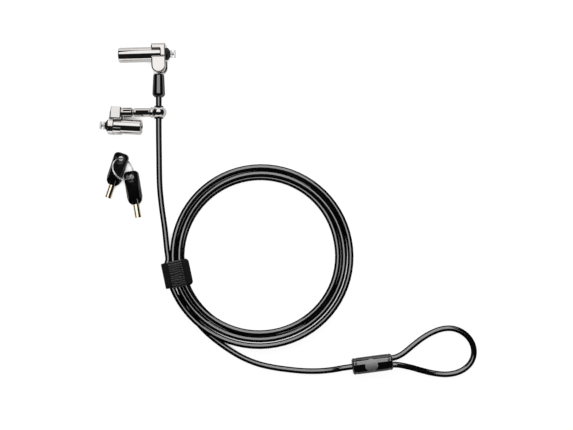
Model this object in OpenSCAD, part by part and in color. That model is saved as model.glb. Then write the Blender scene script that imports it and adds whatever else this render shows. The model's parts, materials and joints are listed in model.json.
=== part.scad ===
/* [Cable] */
// Outside diameter of the jacketed cable
cable_d = 4.2; // [3.8:0.1:4.4]
// Height of the lock heads' centre line above the table
axis_h = 6.5; // [6.5:0.1:8]

/* [Coil] */
// Radius where the cable enters the coil, on top
coil_r = 68; // [66:0.1:70]
// How far the turns draw in at the bottom of the coil
coil_dip = 1.3; // [0:0.1:1.5]
// Steady step between neighbouring turns
coil_pitch = 4.75; // [4.7:0.05:5]
// Height from the lower layer to the upper layer
coil_layer = 4.7; // [4.7:0.05:5.2]

/* [Lock barrels] */
// Diameter of both barrels
barrel_d = 10.9; // [10:0.1:11.2]
// Length of the main barrel
main_barrel_len = 30.8; // [27:0.1:36]
// Length of the second barrel
second_barrel_len = 19.9; // [19.9:0.1:24]
// Rounding at the key end
barrel_round = 0.9; // [0.4:0.1:1.2]

/* [Tubular lock cylinder] */
// Bore that holds the cylinder
core_d = 8.6; // [8.2:0.1:9]
// Depth of the keyway in front of the rotor
keyway_depth = 5.6; // [5:0.1:6]
// Length of the rotor
rotor_len = 4.5; // [4:0.1:4.8]
// Length of the stator
stator_len = 6.5; // [6:0.1:6.8]
// Number of tumbler pins
pin_count = 7; // [5:1:7]
// Diameter of a tumbler pin
pin_d = 0.8; // [0.6:0.05:0.9]
// Circle on which the tumbler pins stand
pin_circle_d = 4.2; // [4.1:0.05:4.6]
// Diameter of the spindle
spindle_d = 2.4; // [2:0.1:2.5]
// Diameter of the pin that holds the stator in
core_pin_d = 1.8; // [1.2:0.1:2]

/* [Nose] */
// Thickness of the yoke's end plate
plate_t = 3.6; // [3:0.1:4]
// Diameter of the spigot that swivels in the yoke
spigot_d = 6.4; // [5.8:0.1:6.8]
// Diameter of the flange in front of the yoke
flange_d = 7.8; // [7.4:0.1:8]
// Diameter of the rubber pad at its base
pad_base_d = 8.9; // [8.6:0.1:9.6]
// Diameter of the rubber pad at its tip
pad_tip_d = 4.8; // [4.8:0.1:6]
// Length of the rubber pad
pad_len = 3; // [2.6:0.1:3.3]
// Length of the T-shaped tip across the nose
tip_len = 5.8; // [5:0.1:6]
// Thickness of the T-shaped tip
tip_t = 2.3; // [2:0.1:2.4]

/* [Main yoke] */
// Half width of the main yoke's ears
main_ear_r = 5.1; // [4.8:0.1:5.2]
// Distance from the hinge pin to the barrel's centre line
main_offset = 9.1; // [9.1:0.1:11]
// Thickness of the arm beyond the barrel
arm_t = 2; // [2:0.1:5]
// Diameter of the hinge pins
hinge_pin_d = 2.6; // [2:0.1:3]
// Gap between the main yoke's ears
main_gap = 6.7; // [6:0.1:7.4]
// Angle at which the main head stands
main_angle = 1.6; // [0:0.1:4]

/* [Sleeve] */
// Diameter of the sleeve at the hinge
sleeve_top_d = 8; // [7.6:0.1:8]
// Diameter of the sleeve at the cable
sleeve_low_d = 9.2; // [8.6:0.1:9.2]
// Length of the sleeve
sleeve_len = 16.5; // [14:0.1:17.1]

/* [Second head] */
// Distance from the second hinge pin to its barrel's centre line
second_offset = 10; // [10:0.1:12]
// Distance from the cable to the second hinge pin
arm_len = 30.3; // [30:0.1:38]
// Gap between the second yoke's ears
second_gap = 7.2; // [7.2:0.1:7.6]
// Diameter of the swivel fork
fork_d = 6.9; // [6.4:0.1:6.9]
// Number of slots round the fork
slot_count = 8; // [6:1:9]
// Angle at which the second head stands
second_angle = -3; // [-3:0.1:0]

/* [Eyelet] */
// Outside diameter of the bead-shaped eyelet
eyelet_d = 11.5; // [10.5:0.1:12]
// Length of the eyelet along the cable, over its rounding
eyelet_len = 8.4; // [7.5:0.1:8.6]
// Diameter of the eyelet's shaft
shaft_d = 6.5; // [6:0.1:6.9]
// Wall of the bush inside the eyelet
bush_wall = 0.5; // [0.4:0.05:0.7]

/* [End loop] */
// Diameter of the cover over the loop's joint
cover_d = 12; // [11.2:0.1:12.4]
// Length of the cover
cover_len = 29.4; // [26:0.1:32]

/* [Strap] */
// Width of the webbing
strap_w = 18.5; // [14:0.1:20]
// Thickness of the webbing
strap_t = 1.4; // [1:0.1:1.6]

/* [Keys] */
// Length of the moulded bow
bow_len = 24.4; // [22:0.1:25]
// Width of the moulded bow
bow_w = 11; // [9.6:0.1:11.4]
// Thickness of the bow at the ring hole
bow_thin = 3.2; // [3:0.1:3.6]
// Thickness of the bow at the tube
bow_thick = 5.6; // [5.4:0.1:5.8]
// Outside diameter of the key tube
key_tube_d = 4.7; // [4.5:0.05:4.8]
// Bore of the key tube
key_bore_d = 3.5; // [3.4:0.05:3.6]
// Length of tube that stands out of the bow
key_tube_len = 9.9; // [8:0.1:12]
// Mean radius of the split ring
ring_r = 8.3; // [8.2:0.05:8.4]
// Diameter of the ring's wire
wire_d = 0.64; // [0.5:0.02:0.7]

/* [Hidden] */

$fn = 48;
e = 0.02;
turn_gap = 0.05;       // radial clearance of a running fit
face_gap = 0.1;        // clearance between flat faces that slide
free_gap = 0.35;       // clearance between curved faces that pass each other

barrel_r = barrel_d / 2;
core_r = core_d / 2;
spindle_r = spindle_d / 2;
hinge_r = hinge_pin_d / 2;
cable_r = cable_d / 2;

// Lock head, measured from its hinge pin: +X towards the nose, barrel axis at +Y
plate_in = 1.5;
plate_out = plate_in + plate_t;
barrel_front = plate_in - turn_gap;
nose_stud_d = 5;
nose_stud_len = 2.4;
flange_x = plate_out + face_gap;
flange_t = 0.7;
nose_tube_r = spindle_r + 0.7;
pad_end = flange_x + pad_len;
bar_x = pad_end + 0.1;
bar_t = 1.1;
tip_x = bar_x + bar_t + 1.2;
tip_depth = 1.4;
key_pin_len = 3;
driver_len = 2;
spring_len = 3.4;
pin_hole_r = pin_d / 2 + 0.04;
post_r = key_bore_d / 2 - 0.12;
keyway_r = key_tube_d / 2 + 0.12;
lug_w = 1;
lug_h = 0.55;

// Places of the two hinge pins
main_pin_y = -1.3;
arm_y = -34.5;
main_origin = [0, main_pin_y, axis_h];
second_origin = [-arm_len, arm_y, axis_h];

// Main yoke, whose head stands a little forward of its hinge pin
half_t = axis_h;
head_shift = 0.65;
arm_top = main_offset + barrel_r + arm_t - 0.15;
arm_bevel = 1.6;
window_low = main_offset - 2.5;
window_top = main_offset + barrel_r - 1.95;
edge = 0.5;
knuckle_r = main_offset - barrel_r - free_gap;
pin_roof = 0.9;        // metal left over the main hinge pin

// Sleeve and tongue
sleeve_y = -6.9;
shank_r = 2.7;
shoulder = 1.2;
shank_end = -15.3;
socket_depth = 7;

// Second head
fork_r = fork_d / 2;
fork_end = 11.7;
spigot_r = 1.6;
spigot_len = 6.5;
groove_r = 1.05;
groove_w = 1.2;
shaft_tip = 12.3;
swivel_pin_r = 0.5;
bush_r = cable_r + 0.1;
bush_out = bush_r + bush_wall;
eyelet_bore = bush_out + turn_gap;

// Coil: angle 0 is its left side and grows towards the bottom
coil_centre = [74.6, -138.8];
coil_turns = 4;
coil_start = 10;
coil_rings = 24;
upper_shift = [-0.8, 0];
turn_back = 2.5;
climb_half = 0.25;
lift_span = 36;
lift = strap_t + 0.27;
floor_z = cable_r;

// Routes of the free cable runs
head_route = [[0, -8.5, axis_h], [0, -20, axis_h], [0, -32, axis_h], [0, -44, axis_h],
  [0, -52, 6.1], [0, -60, 5.4], [0, -69, 4.6], [0, -78, 3.8], [0.2, -88, 3], [1, -98, 2.4],
  [2.2, -108, 2.1], [3.6, -117, 2.8], [4.9, -126, 4.8], [6, -134, 6.7], [7, -141.5, 7.9]];
tail_route = [[15, -163, 3.2], [17.9, -171, 2.6], [22, -179.8, 2.2], [28, -188.1, 2.1],
  [35, -195.5, 2.1], [43, -202.1, 2.1], [52, -208.4, 2.1], [61.5, -213.8, 2.1], [72, -218, 2.1],
  [83, -220.6, 2.1], [95, -222.3, 2.1], [106, -223.3, 2.1], [117, -223.3, 2.3],
  [126.5, -222.1, 3.9]];
loop_route = [[177.2, -210.4, 5.2], [184.8, -204.7, 3.8], [192.3, -199.2, 2.6], [200, -194.9, 2.1],
  [207.5, -192.4, 2.1], [214.5, -192.2, 2.1], [221, -194.5, 2.1], [226.2, -198.8, 2.1],
  [229.4, -204.5, 2.1], [230.1, -210.8, 2.1], [228, -216.9, 2.1], [223.3, -221.7, 2.1],
  [217, -224.7, 2.1], [209, -225.8, 2.1], [200, -224.8, 2.2], [191, -222.5, 3.1],
  [183, -220.1, 4.4]];

// Loop cover
cover_centre = [155.3, -217.6, 6];
cover_angle = 7.5;
leg_gap = 5.3;
crimp_len = 12;
crimp_w = 8;
crimp_h = 5;
socket_clear = 0.1;

// Strap round the bundle
strap_mid_r = coil_r - coil_pitch;
bundle_sag = pow(strap_w / 2, 2) / (2 * (strap_mid_r - coil_pitch - cable_r));
bundle_w = 2 * coil_pitch + cable_d + norm(upper_shift) + bundle_sag;
bundle_h = coil_layer + cable_d;
strap_clear = 0.25;
strap_angle = coil_start + 1.9;

// Keys hang on the ring at a chord of it
hole_a = [-27.9, -68];
hole_b = [-20.2, -81.2];
key_a_angle = -19;
key_b_angle = 8.8;
ring_tilt = 45;
ring_half = wire_d * 0.95;
hole_in = 4.2;
hole_r = 1.75;
web_t = 0.8;
chord = norm(hole_b - hole_a);
chord_rise = sqrt(ring_r * ring_r - chord * chord / 4);
ring_z = ring_r * sin(ring_tilt) + ring_half + 0.02;
hole_z = ring_z - chord_rise * sin(ring_tilt);
key_len = bow_len - hole_in + key_tube_len;
key_tilt = asin((hole_z - key_tube_d / 2 - 0.05) / key_len);
chord_angle = atan2(hole_b[1] - hole_a[1], hole_b[0] - hole_a[0]);
chord_side = [sin(chord_angle), -cos(chord_angle)];
ring_centre = (hole_a + hole_b) / 2 + chord_side * chord_rise * cos(ring_tilt);
tube_in = 15;
collar_len = 5;
collar_step = 0.8;

// ---------- helpers ----------

function arc(cx, cy, r, from, to, steps) =
  [for (i = [0 : steps]) [cx + r * cos(from + (to - from) * i / steps),
                          cy + r * sin(from + (to - from) * i / steps)]];

function unit(v) = v / norm(v);

function smooth(x) = let (c = max(0, min(1, x))) c * c * (3 - 2 * c);

// One ring of a swept tube, square to direction d
function ring_at(p, d, r, sides) =
  let (t = unit(d), s = unit(cross(t, [0, 0, 1])), u = cross(s, t))
  [for (k = [0 : sides - 1]) p + r * (cos(360 * k / sides) * s + sin(360 * k / sides) * u)];

function direction(path, i) =
  path[min(i + 1, len(path) - 1)] - path[max(i - 1, 0)];

module swept(path, r, sides) {
  n = len(path);
  rings = [for (i = [0 : n - 1]) each ring_at(path[i], direction(path, i), r, sides)];
  sides_faces = [for (i = [0 : n - 2], k = [0 : sides - 1])
    let (a = i * sides + k, b = i * sides + (k + 1) % sides)
    each [[a, b, b + sides], [a, b + sides, a + sides]]];
  first = [for (k = [1 : sides - 2]) [0, k + 1, k]];
  end = (n - 1) * sides;
  last = [for (k = [1 : sides - 2]) [end, end + k, end + k + 1]];
  polyhedron(rings, [for (f = concat(first, last, sides_faces)) [f[0], f[2], f[1]]], convexity = 10);
}

// Profile points are [radius, distance along X]
module turned(offset, points) {
  translate([0, offset, 0]) rotate([0, 90, 0]) rotate_extrude() polygon(points);
}

module rod(offset, d, from, to) {
  translate([from, offset, 0]) rotate([0, 90, 0]) cylinder(d = d, h = to - from);
}

module at_main() {
  translate(main_origin) rotate([0, 0, main_angle]) children();
}

module at_main_head() {
  at_main() translate([head_shift, 0, 0]) children();
}

module at_second() {
  translate(second_origin) rotate([0, 0, 180 + second_angle]) children();
}

// ---------- lock cylinder and barrel, shared by both heads ----------

// Radial direction of the pin that holds the stator
module core_pin_place(offset, len, side) {
  x = barrel_front - len + keyway_depth + rotor_len + stator_len * 0.55;
  translate([x, offset, 0]) rotate([side * -50, 0, 0]) children();
}

module lock_barrel(offset, len, side) {
  back = barrel_front - len;
  stop = back + keyway_depth + rotor_len + stator_len;
  stud = barrel_front - nose_stud_len;
  r = barrel_round;
  difference() {
    turned(offset, concat(
      [[core_r, back], [barrel_r - r, back]],
      arc(barrel_r - r, back + r, r, -90, 0, 5),
      [[barrel_r, barrel_front - 0.3], [barrel_r - 0.3, barrel_front],
       [nose_stud_d / 2, barrel_front], [nose_stud_d / 2, stud],
       [spindle_r + turn_gap, stud], [spindle_r + turn_gap, stop], [core_r, stop]]));
    core_pin_place(offset, len, side) cylinder(d = core_pin_d, h = barrel_r + 1);
  }
}

module lock_keyway(offset, len) {
  back = barrel_front - len + 0.3;
  front = back + keyway_depth - 0.4;
  difference() {
    turned(offset, [[keyway_r, back + 0.4], [keyway_r + 0.4, back], [core_r, back], [core_r, front],
      [keyway_r, front]]);
    translate([back - e, offset - keyway_r - lug_h, -lug_w / 2 - 0.1])
      cube([front - back + 2 * e, 2 * (keyway_r + lug_h), lug_w + 0.2]);
  }
}

module pin_holes(offset, from, to) {
  for (i = [0 : pin_count - 1])
    translate([from, offset, 0]) rotate([360 * i / pin_count, 0, 0])
      translate([0, pin_circle_d / 2, 0]) rotate([0, 90, 0]) cylinder(r = pin_hole_r, h = to - from);
}

module lock_rotor(offset, len) {
  back = barrel_front - len;
  face = back + keyway_depth;
  difference() {
    turned(offset, [[0, back + 1.2], [post_r - 0.4, back + 1.2], [post_r, back + 1.6], [post_r, face],
      [core_r - turn_gap, face], [core_r - turn_gap, face + rotor_len - turn_gap],
      [spindle_r, face + rotor_len - turn_gap], [spindle_r, face + 0.8], [0, face + 0.8]]);
    pin_holes(offset, face - e, face + rotor_len);
  }
}

module lock_stator(offset, len, side) {
  start = barrel_front - len + keyway_depth + rotor_len;
  difference() {
    turned(offset, [[spindle_r + turn_gap, start], [core_r, start], [core_r, start + stator_len],
      [spindle_r + turn_gap, start + stator_len]]);
    pin_holes(offset, start - e, start + driver_len + spring_len);
    core_pin_place(offset, len, side) translate([0, 0, barrel_r - 2]) cylinder(d = core_pin_d, h = 3);
  }
}

module pin_row(offset, from, to, step) {
  for (i = [0 : pin_count - 1])
    translate([from - step * (i % 3), offset, 0]) rotate([360 * i / pin_count, 0, 0])
      translate([0, pin_circle_d / 2, 0]) rotate([0, 90, 0])
        cylinder(d = pin_d, h = to - from + step * (i % 3), $fn = 24);
}

module lock_key_pins(offset, len) {
  shear = barrel_front - len + keyway_depth + rotor_len;
  pin_row(offset, shear - key_pin_len, shear - turn_gap, 0.4);
}

module lock_driver_pins(offset, len) {
  shear = barrel_front - len + keyway_depth + rotor_len;
  pin_row(offset, shear, shear + driver_len, 0);
}

module lock_pin_springs(offset, len) {
  start = barrel_front - len + keyway_depth + rotor_len + driver_len;
  for (i = [0 : pin_count - 1])
    translate([start, offset, 0]) rotate([360 * i / pin_count, 0, 0])
      translate([0, pin_circle_d / 2, 0]) rotate([0, 90, 0])
        difference() {
          cylinder(d = pin_d - 0.06, h = spring_len - e, $fn = 24);
          translate([0, 0, -1]) cylinder(d = pin_d - 0.4, h = spring_len + 2, $fn = 24);
        }
}

module lock_core_pin(offset, len, side) {
  core_pin_place(offset, len, side)
    translate([0, 0, barrel_r - 2]) cylinder(d = core_pin_d, h = 1.9);
}

// Bar across the nose, rounded at both ends
module cross_bar(offset, from, depth, length, thick) {
  translate([from, offset, 0]) rotate([0, 90, 0]) linear_extrude(depth)
    intersection() {
      square([thick, length], center = true);
      circle(d = length);
    }
}

module lock_spindle(offset, len) {
  start = barrel_front - len + keyway_depth + 0.8;
  rod(offset, spindle_d, start, tip_x + e);
  difference() {
    cross_bar(offset, tip_x, tip_depth, tip_len, tip_t);
    for (s = [-1, 1])
      translate([tip_x + tip_depth, offset + s * tip_len / 2, 0]) rotate([0, 0, s * 45])
        cube([0.7, 0.9, tip_t + 1], center = true);
  }
}

module lock_nose(offset) {
  stud = barrel_front - nose_stud_len;
  bore = spindle_r + turn_gap;
  turned(offset, [[bore, stud], [nose_stud_d / 2, stud], [nose_stud_d / 2, barrel_front],
    [spigot_d / 2, barrel_front], [spigot_d / 2, flange_x], [flange_d / 2, flange_x],
    [flange_d / 2, flange_x + flange_t], [nose_tube_r, flange_x + flange_t], [nose_tube_r, bar_x + e],
    [bore, bar_x + e]]);
  difference() {
    cross_bar(offset, bar_x, bar_t, tip_len, tip_t - 0.1);
    rod(offset, 2 * bore, bar_x - 1, bar_x + bar_t + 1);
  }
}

module lock_pad(offset) {
  turned(offset, concat(
    [[flange_d / 2 + turn_gap, flange_x], [pad_base_d / 2, flange_x]],
    arc(pad_base_d / 2 - 0.6, flange_x + 0.9, 0.6, 0, 60, 4),
    arc(pad_tip_d / 2 - 0.5, pad_end - 0.5, 0.5, 30, 90, 4),
    [[nose_tube_r + turn_gap, pad_end], [nose_tube_r + turn_gap, flange_x + flange_t + turn_gap],
     [flange_d / 2 + turn_gap, flange_x + flange_t + turn_gap]]));
}

// ---------- yokes ----------

// Half of a bevelled bar section, [distance from the middle, height]
function bevelled(half_w, half_h, c) =
  [[0, -half_h], [half_w - c, -half_h], [half_w, c - half_h], [half_w, half_h - c],
   [half_w - c, half_h], [0, half_h]];

module main_yoke_block() {
  section = bevelled(main_ear_r, half_t, edge);
  translate([plate_out - main_ear_r, 0, 0]) {
    rotate([0, 0, 180]) rotate_extrude(angle = 180) polygon(section);
    for (m = [0, 1]) mirror([m, 0, 0])
      rotate([90, 0, 0]) translate([0, 0, -arm_top])
        linear_extrude(arm_top) polygon(section);
  }
}

// Cut that bevels an edge running along X, at both heights
module long_bevel(y, size) {
  for (s = [-1, 1])
    translate([0, y, s * half_t]) rotate([45, 0, 0])
      cube([80, size * sqrt(2), size * sqrt(2)], center = true);
}

module main_yoke() {
  color("gainsboro") difference() {
    at_main_head() difference() {
      main_yoke_block();
      // Bore round the barrel, and the spigot's bore through the end plate
      rod(main_offset, barrel_d + 0.3, -40, plate_in);
      rod(main_offset, spigot_d + 2 * turn_gap, 0, 20);
      // Window that leaves the arm standing, with a round inner corner
      difference() {
        translate([-20, window_low, -20]) cube([20 + plate_in, window_top - window_low, 40]);
        translate([plate_in - 1, window_top - 1, -21]) difference() {
          cube([2, 2, 42]);
          translate([0, 0, -1]) cylinder(r = 1, h = 44);
        }
      }
      long_bevel(arm_top, arm_bevel);
      long_bevel(window_low, edge);
    }
    // Tongue slot between the ears, and the hinge pin's bore
    at_main() {
      translate([-20, -20, -main_gap / 2]) cube([40, 20 + knuckle_r + free_gap, main_gap]);
      translate([0, 0, -20]) pin_bore(half_t - pin_roof + 20);
    }
  }
}

module pin_bore(len) {
  cylinder(r = hinge_r, h = len);
}

module main_hinge_pin() {
  color("silver") at_main()
    translate([0, 0, -half_t]) pin_bore(2 * half_t - pin_roof);
}

module second_yoke() {
  left = -3.8;
  right = 4.2;
  low = -3.8;
  high = second_offset - 4.6;
  seam = 0.6;
  shell_r = barrel_r + 0.75;
  shell_back = -4;
  shell_edge = 1.8;
  color("gainsboro") at_second() difference() {
    union() {
      // Square ears with a slanted outer side
      for (s = [-1, 1]) intersection() {
        translate([0, 0, s > 0 ? second_gap / 2 : -half_t])
          linear_extrude(half_t - second_gap / 2)
            polygon(concat(
              arc(left + 0.9, low + 0.9, 0.9, 180, 270, 4),
              arc(right - 1.6, low + 0.9, 0.9, 270, 350, 4),
              [[right, 1.5], [right, high], [left, high]]));
        rotate([90, 0, 0]) translate([(left + right) / 2, 0, -20]) linear_extrude(40)
          for (m = [0, 1]) mirror([m, 0, 0]) polygon(bevelled((right - left) / 2, half_t, edge));
      }
      // End plate across the nose
      intersection() {
        translate([plate_in, second_offset - 6.2, -half_t]) cube([plate_t, 6.2 + shell_r, 2 * half_t]);
        rod(second_offset, 2 * half_t + 1.2, 0, 20);
      }
      // Half shell that wraps the barrel's far side
      difference() {
        rod(second_offset, 2 * shell_r, shell_back, plate_out);
        translate([-20, second_offset - 20 + shell_edge, -20]) cube([20 + plate_in, 20, 40]);
      }
    }
    rod(second_offset, barrel_d + 0.3, -20, plate_in);
    rod(second_offset, spigot_d + 2 * turn_gap, 0, 20);
    long_bevel(high, seam);
    translate([0, 0, -20]) pin_bore(40);
  }
}

module second_hinge_pin() {
  color("silver") at_second() {
    translate([0, 0, 0.1 - half_t]) cylinder(r = hinge_r, h = 2 * half_t);
  }
}

// ---------- main hinge tongue and sleeve ----------

module along_cable(y) {
  translate([0, y, axis_h]) rotate([90, 0, 0]) children();
}

module main_tongue() {
  color("silver") difference() {
    union() {
      translate([0, main_pin_y, axis_h - main_gap / 2 + face_gap])
        cylinder(r = knuckle_r, h = main_gap - 2 * face_gap);
      translate([-knuckle_r, sleeve_y - 0.5, axis_h - main_gap / 2 + face_gap])
        cube([2 * knuckle_r, main_pin_y - sleeve_y + 0.5, main_gap - 2 * face_gap]);
      along_cable(sleeve_y - 0.4) cylinder(r = shank_r, h = sleeve_y - 0.4 - shank_end);
    }
    translate([0, main_pin_y, -1]) cylinder(r = hinge_r + turn_gap, h = 30);
    along_cable(shank_end + socket_depth) cylinder(r = cable_r + socket_clear, h = 20);
    // The shoulder that enters the sleeve is round
    along_cable(sleeve_y) difference() {
      cylinder(r = 9, h = 3);
      cylinder(r = shank_r, h = 3);
    }
  }
}

module main_sleeve() {
  top = sleeve_top_d / 2;
  low = sleeve_low_d / 2;
  inner = shank_r + 0.05;
  step = sleeve_y - shank_end + 0.1;
  color("#181818") along_cable(sleeve_y) rotate_extrude() polygon(concat(
    [[inner, 0]], arc(top - shoulder, shoulder, shoulder, -90, 0, 5),
    arc(low - 2.2, sleeve_len - 2.4, 2.2, 0, 60, 6),
    [[cable_r + 0.9, sleeve_len], [cable_r + socket_clear, sleeve_len],
     [cable_r + socket_clear, step], [inner, step]]));
}

// ---------- second head's arm ----------

module on_arm(x) {
  translate([x, arm_y, axis_h]) children();
}

module swivel_fork() {
  slot_w = 1.4;
  slot_depth = 1.5;
  slot_from = 5.2;
  slot_to = fork_end - 1.6;
  color("gainsboro") on_arm(-arm_len) difference() {
    union() {
      turned(0, [[0, 0], [fork_r, 0], [fork_r, fork_end - 1], [fork_r - 0.6, fork_end],
        [2, fork_end], [2, shaft_tip], [spigot_r, shaft_tip], [spigot_r, shaft_tip + 3],
        [groove_r, shaft_tip + 3], [groove_r, shaft_tip + 3 + groove_w],
        [spigot_r, shaft_tip + 3 + groove_w], [spigot_r, shaft_tip + spigot_len],
        [0, shaft_tip + spigot_len]]);
      translate([0, 0, face_gap - second_gap / 2]) cylinder(r = fork_r - 0.05, h = second_gap - 2 * face_gap);
    }
    for (i = [0 : slot_count - 1]) rotate([33 + 360 * i / slot_count, 0, 0])
      translate([0, 0, fork_r - slot_depth]) {
        translate([slot_from, -slot_w / 2, 0]) cube([slot_to - slot_from, slot_w, 2]);
        for (x = [slot_from, slot_to]) translate([x, 0, 0]) cylinder(d = slot_w, h = 2);
      }
    translate([0, 0, -10]) cylinder(r = hinge_r + turn_gap, h = 20);
  }
}

module swivel_pin_hole(h, extra) {
  on_arm(shaft_tip + 3 + groove_w / 2 - arm_len)
    translate([0, groove_r + swivel_pin_r + turn_gap, -h / 2]) cylinder(r = swivel_pin_r + extra, h = h);
}

module swivel_pin() {
  color("silver") swivel_pin_hole(4.6, 0);
}

module eyelet() {
  shaft_x = shaft_tip - arm_len;
  ball = eyelet_len / 2;
  bore_depth = spigot_len + 0.3;
  flat_depth = 0.45;
  flat_turn = 9;
  color("gainsboro") difference() {
    union() {
      on_arm(0) rotate([90, 0, 0]) rotate_extrude() intersection() {
        translate([eyelet_d / 2 - ball, 0]) circle(r = ball);
        translate([1, -10]) square([10, 20]);
      }
      on_arm(shaft_x) turned(0, [[0, 0], [shaft_d / 2 - 0.6, 0], [shaft_d / 2, 0.8],
        [shaft_d / 2, -shaft_x - 6.4], [shaft_d / 2 + 0.6, -shaft_x - 5.4], [shaft_d / 2 + 0.6, -shaft_x - 4],
        [0, -shaft_x - 4]]);
    }
    // Two flats along the shaft, turned a little about it
    on_arm(shaft_x + 1.6) rotate([flat_turn, 0, 0]) for (s = [-1, 1])
      translate([0, -5, s * (shaft_d / 2 - flat_depth + 2.5) - 2.5]) cube([-shaft_x - 8.4, 10, 5]);
    on_arm(0) rotate([90, 0, 0]) cylinder(r = eyelet_bore, h = 20, center = true);
    on_arm(shaft_x) rod(0, 2 * (spigot_r + turn_gap), -1, bore_depth);
    swivel_pin_hole(4.6, 0);
  }
}

module eyelet_bush() {
  half = eyelet_len / 2 - 0.1;
  rim = 0.4;
  color("#202020") on_arm(0) rotate([90, 0, 0]) rotate_extrude() polygon(
    [[bush_r, -half - rim], [bush_out + 0.6, -half - rim], [bush_out + 0.6, -half], [bush_out, -half],
     [bush_out, half], [bush_out + 0.6, half], [bush_out + 0.6, half + rim], [bush_r, half + rim]]);
}

// ---------- cable ----------

function coil_point(t) =
  let (a = coil_start + 360 * t, w = smooth((t - turn_back + climb_half) / (2 * climb_half)),
    r = coil_r - coil_pitch * (t < turn_back ? t : 2 * turn_back - t)
      - coil_dip * pow(max(0, sin(a)), 2),
    off = abs((a + 180) % 360 - 180 - coil_start),
    up = off < lift_span ? lift * pow(cos(90 * off / lift_span), 2) : 0)
  [coil_centre[0] - r * cos(a) + (1 - w) * upper_shift[0],
   coil_centre[1] - r * sin(a) + (1 - w) * upper_shift[1],
   floor_z + (1 - w) * coil_layer + up];

coil_steps = coil_turns * coil_rings;
coil_core = [for (i = [0 : coil_steps]) coil_point(i / coil_rings)];
start_dir = unit(coil_point(0.01) - coil_point(0));
end_dir = unit(coil_point(coil_turns) - coil_point(coil_turns - 0.01));
coil_in = coil_core[0] - start_dir * cable_d;
coil_out = coil_core[coil_steps] + end_dir * cable_d;
coil_path = concat([coil_in], coil_core, [coil_out]);

// Least distance between the coil's own turns, less its thickness
coil_gap = min([for (i = [0 : coil_steps], j = [i + coil_rings / 2 : coil_steps])
  norm(coil_core[i] - coil_core[j])]) - cable_d;
echo(coil_least_gap = coil_gap);

cover_dir = [cos(cover_angle), sin(cover_angle), 0];
cover_side = [-sin(cover_angle), cos(cover_angle), 0];
tail_end = cover_centre - cover_dir * (crimp_len / 2);
tail_in = cover_centre - cover_dir * (cover_len / 2 + 6);
function leg(side, x) = cover_centre + cover_dir * x + cover_side * (side * leg_gap / 2);

module cable_colour() {
  color("#141414") children();
}

module cable_head_run() {
  cable_colour() swept(concat(head_route, [coil_in - start_dir * e, coil_in]), cable_r, 12);
}

module cable_coil() {
  cable_colour() swept(coil_path, cable_r, 6);
}

module cable_tail_run() {
  cable_colour() swept(concat([coil_out, coil_out + end_dir * e], tail_route, [tail_in, tail_end]),
    cable_r, 12);
}

module cable_loop() {
  out = cover_len / 2 + 2;
  cable_colour() swept(concat([leg(1, crimp_len / 2), leg(1, out)], loop_route,
    [leg(-1, out), leg(-1, crimp_len / 2)]), cable_r, 12);
}

module at_cover() {
  translate(cover_centre) rotate([0, 0, cover_angle]) children();
}

module loop_cover() {
  r = cover_d / 2;
  half = cover_len / 2;
  bore = cable_d + 2 * socket_clear;
  color("#161616") at_cover() difference() {
    turned(0, concat([[0, -half]], arc(r - 2, 2 - half, 2, -90, 0, 6),
      arc(r - 2, half - 2, 2, 0, 90, 6), [[0, half]]));
    rod(0, bore, -half - 1, 1 - crimp_len / 2);
    for (s = [-1, 1]) rod(s * leg_gap / 2, bore, crimp_len / 2 - 1, half + 1);
    crimp_body(0.05);
  }
}

module crimp_body(grow) {
  w = crimp_w + 2 * grow;
  h = crimp_h + 2 * grow;
  translate([-crimp_len / 2 - grow, 0, 0]) rotate([90, 0, 90]) linear_extrude(crimp_len + 2 * grow) {
    square([w - h, h], center = true);
    for (s = [-1, 1]) translate([s * (w - h) / 2, 0]) circle(d = h);
  }
}

module loop_crimp() {
  color("lightgray") at_cover() crimp_body(0);
}

// ---------- strap ----------

module rounded_box(w, h, r) {
  square([w - 2 * r, h], center = true);
  square([w, h - 2 * r], center = true);
  for (x = [-1, 1], y = [-1, 1])
    translate([x * (w / 2 - r), y * (h / 2 - r)]) circle(r = r);
}

module strap() {
  in_w = bundle_w + 2 * strap_clear;
  in_h = bundle_h + 0.4;
  a = strap_angle;
  place = [coil_centre[0] - strap_mid_r * cos(a), coil_centre[1] - strap_mid_r * sin(a),
    strap_t + in_h / 2];
  color("#303030") translate(place) rotate([0, 0, a]) rotate([90, 0, 0])
    linear_extrude(strap_w, center = true) {
      difference() {
        rounded_box(in_w + 2 * strap_t, in_h + 2 * strap_t, 3.4);
        rounded_box(in_w, in_h, 2);
      }
      // Overlapping free end on top
      translate([-in_w / 2 + 2, in_h / 2 + strap_t - e]) square([in_w * 0.62, strap_t * 0.9]);
    }
}

// ---------- keys ----------

module at_key(hole, angle) {
  translate([hole[0], hole[1], hole_z]) rotate([0, 0, angle]) rotate([key_tilt, 0, 0]) children();
}

// A profile closed by its mirror image below the first axis
function both_sides(points) =
  concat(points, [for (i = [len(points) - 1 : -1 : 0]) [points[i][0], -points[i][1]]]);

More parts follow.
